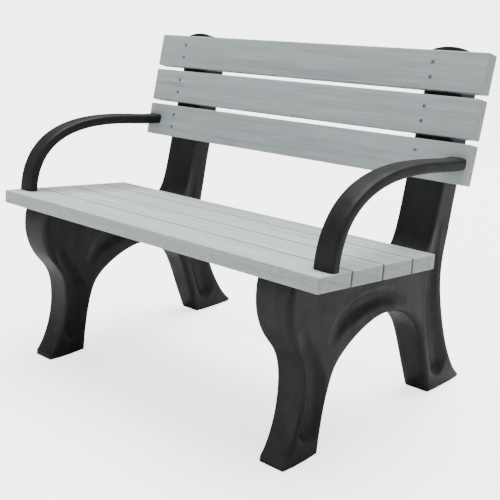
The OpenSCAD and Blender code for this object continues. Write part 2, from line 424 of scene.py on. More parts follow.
@dataclass(frozen=True)
class GroupPlan:
    """A shader node group: its name, its value inputs and its outputs."""

    name: str
    inputs: tuple[tuple[str, float], ...]
    outputs: tuple[str, ...]

    def build(self, fill: Callable[[Wiring, bpy.types.Node], dict]) -> bpy.types.NodeTree:
        """Make the group.

        Args:
            fill: Adds the nodes and returns the socket for each output.

        Returns:
            The finished node group.
        """
        tree = bpy.data.node_groups.new(self.name, "ShaderNodeTree")
        for label, value in self.inputs:
            socket = tree.interface.new_socket(label, in_out="INPUT", socket_type="NodeSocketFloat")
            socket.default_value = value
        for label in self.outputs:
            tree.interface.new_socket(label, in_out="OUTPUT", socket_type="NodeSocketFloat")
        wiring = Wiring(tree)
        entry = wiring.add("NodeGroupInput")
        exit_node = wiring.add("NodeGroupOutput")
        for label, socket in fill(wiring, entry).items():
            tree.links.new(socket, exit_node.inputs[label])
        return tree


def fill_lengthwise_grain(w: Wiring, entry: bpy.types.Node) -> dict[str, Socket]:
    """Fill the group for the drawn grain that runs along a plank.

    Args:
        w: The group's wiring.
        entry: The group's input node.

    Returns:
        The socket for each output.
    """
    here = w.here()
    long_streaks = w.noise(w.place(here, scale=(1.6, 46, 46)), detail=5.0, roughness=0.6)
    fine_streaks = w.noise(w.place(here, scale=(7, 210, 210)), detail=4.0, roughness=0.65)
    drift = w.add("ShaderNodeTexNoise", None, Vector=here, Scale=3.2, Detail=2.0).outputs["Color"]
    warp = w.add("ShaderNodeVectorMath", {"operation": "MULTIPLY_ADD"}, in_0=drift, in_1=(0.0, 0.02, 0.02),
                 in_2=here)
    scratches = w.noise(w.place(warp.outputs[0], scale=(2.4, 420, 420)), detail=2.0, roughness=0.5)
    mottle = w.noise(w.place(here, scale=(0.35, 1.0, 1.0)), scale=9.0, detail=5.0, roughness=0.6)
    blotch = w.noise(w.place(here, scale=(0.6, 1.0, 1.0), turn=(0.3, 0.7, 0.1)), scale=14.0, detail=3.0,
                     roughness=0.5)
    grains = w.noise(w.place(here, scale=(95, 230, 230)), detail=4.0, roughness=0.7)
    lines = w.remap(scratches, 0.60, 0.70)
    streak = w.math("ADD", w.math("MULTIPLY", long_streaks, 0.6), w.math("MULTIPLY", fine_streaks, 0.4))
    cut_depth = w.math("MULTIPLY", lines, entry.outputs["Line Depth"])
    height = w.math("SUBTRACT", w.math("MULTIPLY", streak, entry.outputs["Streak Depth"]), cut_depth)
    return {"Streak": w.remap(streak, 0.34, 0.66), "Lines": lines, "Mottle": w.remap(mottle, 0.30, 0.70),
            "Blotch": w.remap(blotch, 0.36, 0.64), "Grains": w.remap(grains, 0.38, 0.62), "Height": height}


def fill_sawn_end(w: Wiring, entry: bpy.types.Node) -> dict[str, Socket]:
    """Fill the group for the sawn ends of a plank, with the small voids of its foamed core.

    Args:
        w: The group's wiring.
        entry: The group's input node.

    Returns:
        The socket for each output.
    """
    here = w.here()
    across = w.add("ShaderNodeSeparateXYZ", None, Vector=w.normal())
    facing = w.remap(w.math("ABSOLUTE", across.outputs["X"]), 0.75, 0.95)
    cells = w.add("ShaderNodeTexVoronoi", {"feature": "DISTANCE_TO_EDGE"}, Vector=here,
                  Scale=entry.outputs["Cell Scale"])
    saw = w.noise(w.place(here, scale=(60, 90, 900), turn=(0.35, 0, 0)), detail=2.0)
    pits = w.remap(w.noise(here, scale=420.0, detail=2.0), 0.60, 0.72)
    holes = w.math("MULTIPLY", pits, w.remap(cells.outputs["Distance"], 0.02, 0.18))
    return {"Face": facing, "Pits": w.math("MULTIPLY", holes, facing),
            "Saw": w.math("MULTIPLY", w.remap(saw, 0.35, 0.65), facing)}


def fill_worn_and_highlit_edge(w: Wiring, entry: bpy.types.Node) -> dict[str, Socket]:
    """Fill the group that finds edges to paint lighter: partly wear from use, partly a painted highlight.

    Args:
        w: The group's wiring.
        entry: The group's input node.

    Returns:
        The socket for each output.
    """
    sharp = w.normal()
    round_off = w.add("ShaderNodeBevel", {"samples": 6}, Radius=entry.outputs["Radius"])
    turn = w.add("ShaderNodeVectorMath", {"operation": "DOT_PRODUCT"}, in_0=round_off.outputs[0], in_1=sharp)
    edge = w.remap(turn.outputs["Value"], 0.995, 0.93)
    patchy = w.remap(w.noise(w.here(), scale=60.0, detail=4.0, roughness=0.7), 0.36, 0.62)
    return {"Edge": w.math("MULTIPLY", edge, patchy)}


def fill_moulded_skin(w: Wiring, entry: bpy.types.Node) -> dict[str, Socket]:
    """Fill the group for cast recycled plastic: clouds, flow marks and a fine leathery skin.

    Args:
        w: The group's wiring.
        entry: The group's input node.

    Returns:
        The socket for each output.
    """
    here = w.here()
    clouds = w.noise(here, scale=11.0, detail=6.0, roughness=0.62)
    flow = w.noise(w.place(here, scale=(30, 30, 5.5)), detail=5.0, roughness=0.6)
    grit = w.noise(here, scale=520.0, detail=3.0, roughness=0.6)
    dents = w.add("ShaderNodeTexVoronoi", {"feature": "SMOOTH_F1"}, Vector=here, Scale=95.0)
    chips = w.remap(w.noise(here, scale=150.0, detail=3.0, roughness=0.7), 0.64, 0.72)
    height = w.math("ADD", w.math("MULTIPLY", grit, entry.outputs["Grit Depth"]),
                    w.math("MULTIPLY", dents.outputs["Distance"], entry.outputs["Dent Depth"]))
    return {"Clouds": w.remap(clouds, 0.34, 0.66), "Flow": w.remap(flow, 0.34, 0.66), "Chips": chips,
            "Height": height}


def fill_settled_dust(w: Wiring, entry: bpy.types.Node) -> dict[str, Socket]:
    """Fill the group for the pale dust that lies on upward faces.

    Args:
        w: The group's wiring.
        entry: The group's input node.

    Returns:
        The socket for each output.
    """
    facing = w.add("ShaderNodeSeparateXYZ", None, Vector=w.normal())
    upward = w.remap(facing.outputs["Z"], 0.15, 0.95)
    patches = w.remap(w.noise(w.here(), scale=26.0, detail=5.0, roughness=0.65), 0.38, 0.66)
    return {"Dust": w.math("MULTIPLY", entry.outputs["Amount"], w.math("MULTIPLY", upward, patches))}


class Effects:
    """The shader node groups that the finishes share."""

    def __init__(self) -> None:
        """Build each group once."""
        self.grain = GroupPlan("lengthwise_grain", (("Streak Depth", 0.0004), ("Line Depth", 0.0002)),
                               ("Streak", "Lines", "Mottle", "Blotch", "Grains", "Height")
                               ).build(fill_lengthwise_grain)
        self.sawn = GroupPlan("sawn_end", (("Cell Scale", 160.0),),
                              ("Face", "Pits", "Saw")).build(fill_sawn_end)
        # Edge mask for lighter edges: partly wear, partly a painted highlight where light catches the rounding
        self.worn_and_highlit = GroupPlan("worn_and_highlit_edge", (("Radius", 0.004),), ("Edge",)).build(fill_worn_and_highlit_edge)
        self.skin = GroupPlan("moulded_skin", (("Grit Depth", 0.0002), ("Dent Depth", 0.0002)),
                              ("Clouds", "Flow", "Chips", "Height")).build(fill_moulded_skin)
        self.dust = GroupPlan("settled_dust", (("Amount", 0.3),), ("Dust",)).build(fill_settled_dust)


def use(w: Wiring, group: bpy.types.NodeTree, **inputs: float) -> bpy.types.bpy_prop_collection:
    """Place a node group with its values and return its outputs."""
    return w.add("ShaderNodeGroup", {"node_tree": group}, **inputs).outputs


def grey(red: float, green: float, blue: float) -> Colour:
    """Return an opaque linear colour."""
    return (red, green, blue, 1.0)


def start_material(name: str) -> tuple[bpy.types.Material, Wiring]:
    """Make an empty node material.

    Args:
        name: The material's name.

    Returns:
        The material, and the wiring of its tree.
    """
    material = bpy.data.materials.new(name)
    material.use_nodes = True
    return material, Wiring(material.node_tree)


@dataclass(frozen=True)
class Relief:
    """How strongly a height shows as bump."""

    distance: float
    strength: float

    def close(self, w: Wiring, height: Socket, **settings: object) -> None:
        """Close a material with a Bump node and a Principled BSDF.

        Args:
            w: The material's wiring.
            height: The height that the bump follows.
            settings: The shader's other inputs, with underscores for spaces.
        """
        raised = w.add("ShaderNodeBump", None, Height=height, Distance=self.distance, Strength=self.strength)
        shader = w.add("ShaderNodeBsdfPrincipled", None, Normal=raised.outputs["Normal"], **settings)
        w.add("ShaderNodeOutputMaterial", None, Surface=shader.outputs["BSDF"])


@dataclass(frozen=True)
class PlankFinish:
    """Grey plastic lumber with a drawn grain, sawn at its ends."""

    name: str = "grey_plastic_lumber"
    light: Colour = grey(0.470, 0.520, 0.524)
    dark: Colour = grey(0.278, 0.323, 0.330)
    warm: Colour = grey(0.430, 0.415, 0.455)
    cool: Colour = grey(0.335, 0.415, 0.400)
    # Painted shade: near-black colour laid into the joints between planks, where shade falls
    joint_shade: Colour = grey(0.075, 0.082, 0.086)
    line: Colour = grey(0.235, 0.26, 0.27)
    core: Colour = grey(0.24, 0.265, 0.275)
    # Lighter edge colour: partly rubbed wear, partly a painted highlight
    rubbed_and_highlight: Colour = grey(0.60, 0.63, 0.64)
    warm_share: float = 0.45
    cool_share: float = 0.40
    line_share: float = 0.34
    rubbed_and_highlight_share: float = 0.45
    core_share: float = 0.42
    saw_share: float = 0.20
    pit_share: float = 0.7
    grain_share: float = 0.55
    joint_shade_share: float = 0.85
    pit_depth: float = 1.4
    rough_low: float = 0.50
    rough_high: float = 0.62
    shine: float = 0.42
    relief: Relief = Relief(0.0006, 0.55)

    def build(self, effects: Effects) -> bpy.types.Material:
        """Make the material.

        Args:
            effects: The shared node groups.

        Returns:
            The finished material.
        """
        material, w = start_material(self.name)
        grain = use(w, effects.grain, Streak_Depth=0.6, Line_Depth=0.55)
        sawn = use(w, effects.sawn, Cell_Scale=150.0)
        edge = use(w, effects.worn_and_highlit, Radius=0.0035)
        cut_sides = w.math("MULTIPLY", w.math("MAXIMUM", w.stored("narrow"), sawn["Face"]), grain["Grains"])
        colour = w.layered(w.mix(grain["Streak"], self.dark, self.light), (
            (grain["Mottle"], self.warm_share, self.warm),
            (grain["Blotch"], self.cool_share, self.cool),
            (grain["Lines"], self.line_share, self.line),
            # Edges painted lighter: partly wear, partly a painted highlight
            (edge["Edge"], self.rubbed_and_highlight_share, self.rubbed_and_highlight),
            (sawn["Face"], self.core_share, self.core),
            (sawn["Saw"], self.saw_share, self.light),
            (sawn["Pits"], self.pit_share, self.line),
            (cut_sides, self.grain_share, self.core),
            # Last layer: painted shade in the joints between planks
            (w.stored("joint"), self.joint_shade_share, self.joint_shade)))
        rough = w.remap(grain["Streak"], 0.0, 1.0, self.rough_high, self.rough_low)
        height = w.math("SUBTRACT", grain["Height"], w.math("MULTIPLY", sawn["Pits"], self.pit_depth))
        self.relief.close(w, height, Base_Color=colour, Roughness=rough, Specular_IOR_Level=self.shine)
        return material


@dataclass(frozen=True)
class MouldedFinish:
    """Charcoal cast plastic with a satin, mottled skin."""

    name: str
    deep: Colour
    pale: Colour
    chip: Colour
    # Lighter edge colour: partly rubbed wear, partly a painted highlight
    rubbed_and_highlight: Colour
    dust: Colour = grey(0.12, 0.125, 0.125)
    chip_share: float = 0.40
    rubbed_and_highlight_share: float = 0.20
    dust_amount: float = 0.16
    rough_low: float = 0.42
    rough_high: float = 0.62
    shine: float = 0.18
    relief: Relief = Relief(0.0010, 0.45)

    def build(self, effects: Effects) -> bpy.types.Material:
        """Make the material.

        Args:
            effects: The shared node groups.

        Returns:
            The finished material.
        """
        material, w = start_material(self.name)
        skin = use(w, effects.skin, Grit_Depth=0.30, Dent_Depth=0.55)
        edge = use(w, effects.worn_and_highlit, Radius=0.006)
        dust = use(w, effects.dust, Amount=self.dust_amount)
        blend = w.math("ADD", w.math("MULTIPLY", skin["Clouds"], 0.5), w.math("MULTIPLY", skin["Flow"], 0.5))
        colour = w.layered(w.mix(blend, self.deep, self.pale), (
            (skin["Chips"], self.chip_share, self.chip),
            # Edges painted lighter: partly wear, partly a painted highlight
            (edge["Edge"], self.rubbed_and_highlight_share, self.rubbed_and_highlight),
            (dust["Dust"], 1.0, self.dust)))
        rough = w.remap(w.math("ADD", skin["Clouds"], dust["Dust"]), 0.0, 1.2, self.rough_low, self.rough_high)
        self.relief.close(w, skin["Height"], Base_Color=colour, Roughness=rough, Specular_IOR_Level=self.shine)
        return material


@dataclass(frozen=True)
class SteelFinish:
    """Bare, blued or coated steel of a fixing."""

    name: str
    bright: Colour
    dull: Colour
    metallic: float
    rough_low: float = 0.40
    rough_high: float = 0.60
    # Share of the edges painted bright: partly wear, partly a painted highlight
    rubbed_and_highlight_share: float = 0.5
    relief: Relief = Relief(0.0001, 0.35)

    def build(self, effects: Effects) -> bpy.types.Material:
        """Make the material.

        Args:
            effects: The shared node groups.

        Returns:
            The finished material.
        """
        material, w = start_material(self.name)
        here = w.here()
        stain = w.remap(w.noise(here, scale=240.0, detail=4.0, roughness=0.6), 0.35, 0.65)
        brushed = w.noise(w.place(here, scale=(2600, 500, 500)), detail=3.0)
        edge = use(w, effects.worn_and_highlit, Radius=0.0008)
        # Edges painted bright: partly wear, partly a painted highlight
        colour = w.layered(w.mix(stain, self.dull, self.bright), (
            (edge["Edge"], self.rubbed_and_highlight_share, self.bright),))
        rough = w.remap(stain, 0.0, 1.0, self.rough_high, self.rough_low)
        self.relief.close(w, brushed, Base_Color=colour, Roughness=rough, Metallic=self.metallic)
        return material


# ---------- The bench's plan ----------
class Tilt(Enum):
    """Which way a plank's broad face looks."""

    SEAT = "seat"
    BACK = "back"


@dataclass(frozen=True)
class Plan:
    """The bench's driving sizes and its lines in the side view, with y from the seat's front edge."""

    seat_height: float = 0.502
    seat_tilt: float = math.radians(5.6)
    back_recline: float = math.radians(15.3)
    plank_thickness: float = 0.0381
    seat_depth: float = 0.4491
    back_height: float = 0.3301
    back_plank_width: float = 0.1015
    back_rise: float = 0.112
    back_setback: float = 0.105
    upright_depth: float = 0.083
    front_foot: float = 0.131
    rear_foot: float = 0.159
    rear_toe_offset: float = 0.072
    frame_setback: float = 0.016

    @property
    def seat_rear(self) -> Vector:
        """Direction back along the seat."""
        return spot(math.cos(self.seat_tilt), -math.sin(self.seat_tilt))

    @property
    def back_up(self) -> Vector:
        """Direction up the back."""
        return spot(math.sin(self.back_recline), math.cos(self.back_recline))

    @property
    def back_rear(self) -> Vector:
        """Direction through the back, to the rear."""
        return spot(math.cos(self.back_recline), -math.sin(self.back_recline))

    @property
    def seat_rear_edge(self) -> Vector:
        """Rear top edge of the seat."""
        return spot(0, self.seat_height) + self.seat_depth * self.seat_rear

    @property
    def back_edge(self) -> Vector:
        """Lower front edge of the lowest back plank."""
        return spot(self.seat_rear_edge.x + self.back_setback, self.seat_height + self.back_rise)

    @property
    def rear_root(self) -> float:
        """Where the upright's front line meets the seat planks' underside."""
        return self.upright_front(self.rest_z(self.seat_rear_edge.x))

    @property
    def rear_toe(self) -> float:
        """Front of the rear foot."""
        return self.rear_root + self.rear_toe_offset

    @property
    def rear_heel(self) -> float:
        """Back of the rear foot."""
        return self.rear_toe + self.rear_foot

    @property
    def shift(self) -> float:
        """Y of the seat's front edge in the shared frame."""
        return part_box("end_frame_left")[1].y - self.rear_heel

    def rest_z(self, y: float) -> float:
        """Return the height of the seat planks' underside at a distance behind the front edge."""
        return self.seat_height - self.plank_thickness / math.cos(self.seat_tilt) - y * math.tan(self.seat_tilt)

    def upright_front(self, z: float) -> float:
        """Return the y of an upright's front face, behind the back planks, at a height."""
        lean = math.tan(self.back_recline)
        face = self.back_edge.x + self.plank_thickness / math.cos(self.back_recline)
        return face + (z - self.back_edge.y) * lean

    def upright_back(self, z: float) -> float:
        """Return the y of an upright's rear face at a height."""
        return self.upright_front(z) + self.upright_depth / math.cos(self.back_recline)

    def directions(self, tilt: Tilt) -> tuple[Vector, Vector]:
        """Return the directions across a plank's broad face and out of it, in the side view."""
        across = self.seat_rear if tilt is Tilt.SEAT else self.back_up
        return across, spot(-across.y, across.x)


# ---------- Planks ----------
@dataclass
class Plank:
    """One board, rounded along its edges and eased at its sawn ends."""

    node: str
    tilt: Tilt
    plan: Plan
    joints: tuple[int, ...] = ()
    edge_radius: float = 0.003
    edge_segments: int = 4
    end_ease: float = 0.0036
    end_segments: int = 3
    end_sharpness: float = 1.4
    pieces: int = 48
    joint_reach: float = 0.0022
    joint_full: float = 0.0002
    narrow_turn: float = 0.6

    def size(self) -> tuple[float, float, float]:
        """Measure the CAD node.

        Returns:
            The length, width and thickness of the board that fills the node's box.
        """
        low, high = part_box(self.node)
        across, out = self.plan.directions(self.tilt)
        turned = np.array([[abs(across.x), abs(out.x)], [abs(across.y), abs(out.y)]])
        inner = np.array([high.y - low.y, high.z - low.z]) - 2 * self.edge_radius
        width, thickness = np.linalg.solve(turned, inner) + 2 * self.edge_radius
        return high.x - low.x, float(width), float(thickness)

    def build(self) -> Piece:
        """Make the board.

        Returns:
            The board without its screw holes.
        """
        length, width, thickness = self.size()
        across, out = self.plan.directions(self.tilt)
        _, y, z = middle(self.node)
        shape = bmesh.new()
        bmesh.ops.create_cube(shape, size=1.0)
        bmesh.ops.scale(shape, vec=(length, width, thickness), verts=shape.verts)
        long_edges = [edge for edge in shape.edges if run(edge, 0) > length / 2]
        round_edges(shape, long_edges, self.edge_radius, self.edge_segments)
        rims = [edge for edge in shape.edges if len(edge.link_faces) == 2
                and edge.calc_face_angle() > self.end_sharpness and run(edge, 0) < TINY]
        round_edges(shape, rims, self.end_ease, self.end_segments)
        for i in range(1, self.pieces):
            place = (i / self.pieces - 0.5) * (length - 4 * self.end_ease)
            geom = shape.verts[:] + shape.edges[:] + shape.faces[:]
            bmesh.ops.bisect_plane(shape, geom=geom, plane_co=(place, 0, 0), plane_no=(1, 0, 0))
        turned = Matrix(((1, 0, 0, 0), (0, across.x, out.x, y), (0, across.y, out.y, z), (0, 0, 0, 1)))
        bmesh.ops.transform(shape, matrix=turned, verts=shape.verts)
        bmesh.ops.recalc_face_normals(shape, faces=shape.faces)
        return make_object(self.node + "_board", shape)

    def mark_surfaces(self, piece: Piece) -> None:
        """Store two masks for the material.

        The one named joint says how deep each vertex lies in a joint with a neighbouring plank, where the
        material paints shade. The one named narrow is 1 on the narrow long faces.

        Args:
            piece: The finished board.
        """
        across, _ = self.plan.directions(self.tilt)
        half = self.size()[1] / 2
        _, y, z = middle(self.node)
        # The joint mask marks where the board is painted with shade
        joint = piece.data.attributes.new("joint", "FLOAT", "POINT")
        for vert in piece.data.vertices:
            reach = (spot(vert.co.y, vert.co.z) - spot(y, z)).dot(across)
            joint.data[vert.index].value = max(
                (eased(half - self.joint_reach, half - self.joint_full, side * reach) for side in self.joints),
                default=0.0)
        narrow = piece.data.attributes.new("narrow", "FLOAT", "FACE")
        for face in piece.data.polygons:
            turn = abs(spot(face.normal.y, face.normal.z).dot(across))
            narrow.data[face.index].value = float(turn > self.narrow_turn)


# ---------- Fixings ----------
@dataclass
class ScrewSet:
    """The four countersunk screws of one plank."""

    node: str
    plank: Plank
    head: float = 0.011
    shank: float = 0.006
    length: float = 0.065
    point: float = 0.008
    rim: float = 0.0004
    dome: float = 0.0005
    dome_shape: tuple[tuple[float, float], ...] = ((0.0, 1.0), (0.5, 0.8), (0.88, 0.15))
    recess: float = 0.0058
    recess_depth: float = 0.0022
    lobes: int = 6
    lobe_depth: float = 0.14
    lobe_steps: int = 36
    clear_above: float = 0.002
    hole_gap: float = 0.0005
    sink_gap: float = 0.0006
    sink_drop: float = 0.0003
    sink_above: float = 0.004
    hole_depth: float = 0.045
    face_depth: float = 1e-4
    around: int = 40
    sharp_degrees: float = 32.0

    def places(self) -> list[Matrix]:
        """Find the screws.

        Returns:
            Where each head's centre is, with local Z out of the plank.
        """
        axis = in_space(self.plank.plan.directions(self.plank.tilt)[1])
        found = []
        for points in islands(self.node):
            depth = points @ np.array(axis)
            face = points[depth > depth.max() - self.face_depth]
            found.append(standing(Vector((face.min(0) + face.max(0)) / 2), axis))
        return found

    def build(self) -> Piece:
        """Make the screws.

        Returns:
            The four screws as one piece.
        """
        r, thin = self.head / 2, self.shank / 2
        profile = [(r * out, self.dome * up) for out, up in self.dome_shape]
        profile += [(r, -self.rim), (r - self.rim / 2, -2 * self.rim), (thin, thin - r - self.rim),
                    (thin, self.point - self.length), (0, -self.length)]
        model = make_object("screw", lathed(profile, self.around))
        cut(model, self.driver())
        single = bmesh.new()
        single.from_mesh(model.data)
        bpy.data.objects.remove(model)
        piece = make_object(self.node + "_turned", copied(single, self.places()))
        shade_by_angle(piece, self.sharp_degrees)
        return piece

    def driver(self) -> Piece:
        """Make the cutter of the lobed recess.

        Returns:
            The cutter, standing in the head.
        """
        shape = bmesh.new()
        ring = bmesh.ops.create_circle(shape, cap_ends=True, segments=self.lobe_steps, radius=self.recess / 2)
        for vert in ring["verts"]:
            angle = math.atan2(vert.co.y, vert.co.x)
            vert.co *= 1 - self.lobe_depth * (0.5 - 0.5 * math.cos(self.lobes * angle))
        bmesh.ops.translate(shape, vec=(0, 0, -self.recess_depth), verts=shape.verts)
        extrude(shape, Vector((0, 0, self.recess_depth + self.clear_above)))
        bmesh.ops.recalc_face_normals(shape, faces=shape.faces)
        return make_object("driver", shape)

    def sinks(self) -> Piece:
        """Make the cutter of the four countersunk holes.

        Returns:
            The cutter, in place.
        """
        hole, sink = self.shank / 2 + self.hole_gap, self.head / 2 + self.sink_gap
        profile = [(0, self.sink_above), (sink, self.sink_above), (sink, -self.sink_drop),
                   (hole, hole - sink - self.sink_drop), (hole, -self.hole_depth), (0, -self.hole_depth)]
        return make_object("sinks", copied(lathed(profile, self.around), self.places()))


@dataclass
class PlankRow:
    """One plank with its screws."""

    node: str
    screws: str
    tilt: Tilt
    plan: Plan
    screw_slot: str
    joints: tuple[int, ...] = ()
    sharp_degrees: float = 40.0

    def build(self, board: bpy.types.Material, steel: bpy.types.Material) -> None:
        """Make and dress the board and its screws.

        Args:
            board: The board's material.
            steel: The screws' material.
        """
        plank = Plank(self.node, self.tilt, self.plan, self.joints)
        screws = ScrewSet(self.screws, plank)
        piece = plank.build()
        cut(piece, screws.sinks())
        shade_by_angle(piece, self.sharp_degrees)
        plank.mark_surfaces(piece)
        finish_piece(piece, board, [self.node])
        finish_piece(screws.build(), steel, [self.screws])


@dataclass
class ArmFixings:
    """The two hex bolts, with their washers, that hold the armrests at one end."""

    bolts: str
    washers: str
    tilt: Tilt
    plan: Plan
    shank: float = 0.008
    head_across: float = 0.0148
    head_height: float = 0.00528
    head_chamfer: float = 0.0009
    head_ease: float = 0.0003
    head_segments: int = 2
    washer_radius: float = 0.012
    washer_thickness: float = 0.002
    washer_gap: float = 0.0005
    washer_ease: float = 0.0004
    thread_pitch: float = 0.00125
    thread_depth: float = 0.0006
    thread_start: float = 0.45
    thread_share: float = 0.5
    tip_share: float = 0.8
    around: int = 48
    sharp_degrees: float = 30.0

    def places(self, node: str) -> list[tuple[Matrix, float]]:
        """Find the solids of a node.

        Args:
            node: The CAD node.

        Returns:
            Where each solid starts, with local Z towards the armrest, and how long it is.
        """
        side, axis = (in_space(direction) for direction in self.plan.directions(self.tilt))
        found = []
        for points in islands(node):
            depth, reach = points @ np.array(axis), points @ np.array(side)
            x = (points[:, 0].min() + points[:, 0].max()) / 2
            start = axis * depth.min() + side * ((reach.min() + reach.max()) / 2) + Vector((x, 0, 0))
            found.append((standing(start, axis), float(depth.max() - depth.min())))
        return found

    def head(self) -> Shape:
        """Make a six-sided head.

        Returns:
            The head, chamfered on its outer face.
        """
        shape = bmesh.new()
        bmesh.ops.create_cone(shape, cap_ends=True, segments=6, radius1=self.head_across / 2,
                              radius2=self.head_across / 2, depth=self.head_height)
        bmesh.ops.translate(shape, vec=(0, 0, self.head_height / 2), verts=shape.verts)
        outer = [edge for edge in shape.edges if max(vert.co.z for vert in edge.verts) < TINY]
        round_edges(shape, outer, self.head_chamfer, self.head_segments)
        upright = [edge for edge in shape.edges if run(edge, 2) > self.head_height / 2]
        round_edges(shape, upright, self.head_ease, self.head_segments)
        return shape

    def shaft(self, length: float) -> Shape:
        """Make a threaded shank with a pointed end.

        Args:
            length: From the head's outer face to the tip.

        Returns:
            A new bmesh.
        """
        crest = self.shank / 2
        root = crest - self.thread_depth
        inside, start = self.head_height / 2, length * self.thread_start
        profile = [(0, inside), (crest, inside), (crest, start)]
        for i in range(int(length * self.thread_share / self.thread_pitch)):
            z = start + i * self.thread_pitch
            profile += [(root, z + self.thread_pitch / 2), (crest, z + self.thread_pitch)]
        return lathed(profile + [(root * self.tip_share, length), (0, length)], self.around)

    def washer(self) -> Shape:
        """Make a washer with an eased rim.

        Returns:
            A new bmesh.
        """
        outer, inner, thick = self.washer_radius, self.shank / 2 + self.washer_gap, self.washer_thickness
        flat = outer - self.washer_ease
        return lathed([(inner, 0), (flat, 0), (outer, self.washer_ease), (outer, thick - self.washer_ease),
                       (flat, thick), (inner, thick), (inner, 0)], self.around)

    def build(self, steel: bpy.types.Material) -> None:
        """Make and dress the bolts and the washers.

        Args:
            steel: Their material.
        """
        bolts = bmesh.new()
        head = self.head()
        for place, length in self.places(self.bolts):
            shaft = self.shaft(length)
            add_copy(bolts, head, place)
            add_copy(bolts, shaft, place)
            shaft.free()
        head.free()
        washers = copied(self.washer(), [place for place, _ in self.places(self.washers)])
        for node, shape, ending in ((self.bolts, bolts, "_turned"), (self.washers, washers, "_pressed")):
            piece = make_object(node + ending, shape)
            shade_by_angle(piece, self.sharp_degrees)
            finish_piece(piece, steel, [node])


# ---------- End frames ----------
@dataclass(frozen=True)
class Scoop:
    """A soft hollow in a side face, along a line of (y, z) points with a half width and a depth at each."""

    line: tuple[tuple[float, float], ...]
    half_widths: tuple[float, ...]
    depths: tuple[float, ...]
    floor_share: float

    def depth_at(self, points: np.ndarray) -> np.ndarray:
        """Measure the hollow.

        Args:
            points: Points as (y, z).

        Returns:
            The hollow's depth at each point.
        """
        best = np.full(len(points), FAR)
        width = np.full(len(points), 1.0)
        depth = np.zeros(len(points))
        for i in range(len(self.line) - 1):
            a, b = np.array(self.line[i]), np.array(self.line[i + 1])
            span = b - a
            t = np.clip((points - a) @ span / (span @ span), 0, 1)
            gap = np.linalg.norm(points - a - t[:, None] * span, axis=1)
            nearer = gap < best
            best[nearer] = gap[nearer]
            for values, found in ((self.half_widths, width), (self.depths, depth)):
                found[nearer] = (values[i] + t * (values[i + 1] - values[i]))[nearer]
        return depth * (1 - eased(self.floor_share, 1.0, best / width))


FRONT_LEG_SCOOP = Scoop(
    ((0.052, 0.338), (0.068, 0.292), (0.086, 0.250), (0.105, 0.198), (0.112, 0.150), (0.108, 0.108),
     (0.094, 0.078)),
    (0.016, 0.026, 0.034, 0.041, 0.044, 0.046, 0.044), (0.002, 0.009, 0.013, 0.016, 0.018, 0.019, 0.020), 0.22)
ARCH_SCOOP = Scoop(
    ((0.165, 0.293), (0.198, 0.326), (0.247, 0.345), (0.295, 0.351), (0.347, 0.352), (0.400, 0.343),
     (0.442, 0.322)),
    (0.024, 0.031, 0.034, 0.031, 0.028, 0.027, 0.022), (0.003, 0.011, 0.015, 0.015, 0.012, 0.007, 0.002), 0.15)
REAR_LEG_SCOOP = Scoop(
    ((0.588, 0.500), (0.574, 0.430), (0.571, 0.360), (0.576, 0.300), (0.588, 0.240), (0.608, 0.181),
     (0.632, 0.120), (0.646, 0.080)),
    (0.018, 0.022, 0.026, 0.030, 0.035, 0.039, 0.042, 0.043),
    (0.001, 0.004, 0.008, 0.010, 0.012, 0.015, 0.018, 0.019), 0.22)


